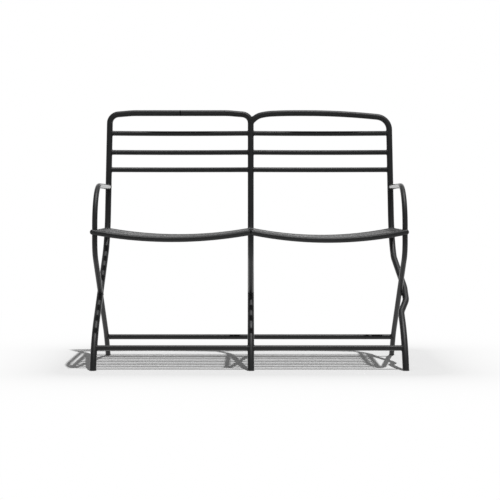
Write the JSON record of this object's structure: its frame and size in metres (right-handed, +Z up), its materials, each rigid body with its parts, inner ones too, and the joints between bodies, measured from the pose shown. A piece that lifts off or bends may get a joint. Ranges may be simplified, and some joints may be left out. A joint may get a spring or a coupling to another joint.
{
  "type": "cafe bench",
  "caption": "Metal cafe bench for two with crossed tube legs, sagging slatted seats, arched barred backs and open arms.",
  "frame": {"origin": "bottom centre of the whole box, on the ground under the middle of the bench", "axes": "+X along the bench to the sitter's left as seen from the front, +Y towards the back, +Z up"},
  "size_m": [1.072, 0.5838, 0.8922],
  "materials": {
    "frame_paint": "semi-gloss dark anthracite powder coat",
    "seat_slat_paint": "satin dark anthracite powder coat",
    "end_cap": "semi-gloss dark anthracite powder coat",
    "foot_plug": "matt black moulded plastic",
    "bare_steel": "plain steel, hidden inside the arch"
  },
  "bodies": {
    "root": {"center_back_loop_and_front_leg": "frame_paint", "center_front_foot_plug": "foot_plug", "center_post": "frame_paint", "center_post_cap": "end_cap", "center_rear_foot_plug": "foot_plug", "center_rear_leg": "frame_paint", "center_seat_side_rail": "frame_paint", "left_arch_inner_sleeve": "bare_steel", "left_arm_and_post": "frame_paint", "left_back_bar_lower": "frame_paint", "left_back_bar_middle": "frame_paint", "left_back_bar_upper": "frame_paint", "left_back_loop_and_front_leg": "frame_paint", "left_front_foot_plug": "foot_plug", "left_front_stretcher": "frame_paint", "left_rear_foot_plug": "foot_plug", "left_rear_leg": "frame_paint", "left_rear_stretcher": "frame_paint", "left_seat_front_rail": "frame_paint", "left_seat_rail_caps": "end_cap", "left_seat_rear_rail": "frame_paint", "left_seat_side_rail": "frame_paint", "left_seat_slats": "seat_slat_paint", "right_arm_and_rear_leg": "frame_paint", "right_back_bar_lower": "frame_paint", "right_back_bar_middle": "frame_paint", "right_back_bar_upper": "frame_paint", "right_back_loop_and_front_leg": "frame_paint", "right_front_foot_plug": "foot_plug", "right_front_stretcher": "frame_paint", "right_rear_foot_plug": "foot_plug", "right_rear_stretcher": "frame_paint", "right_seat_front_rail": "frame_paint", "right_seat_rail_caps": "end_cap", "right_seat_rear_rail": "frame_paint", "right_seat_side_rail": "frame_paint", "right_seat_slats": "seat_slat_paint"}
  },
  "joints": []
}
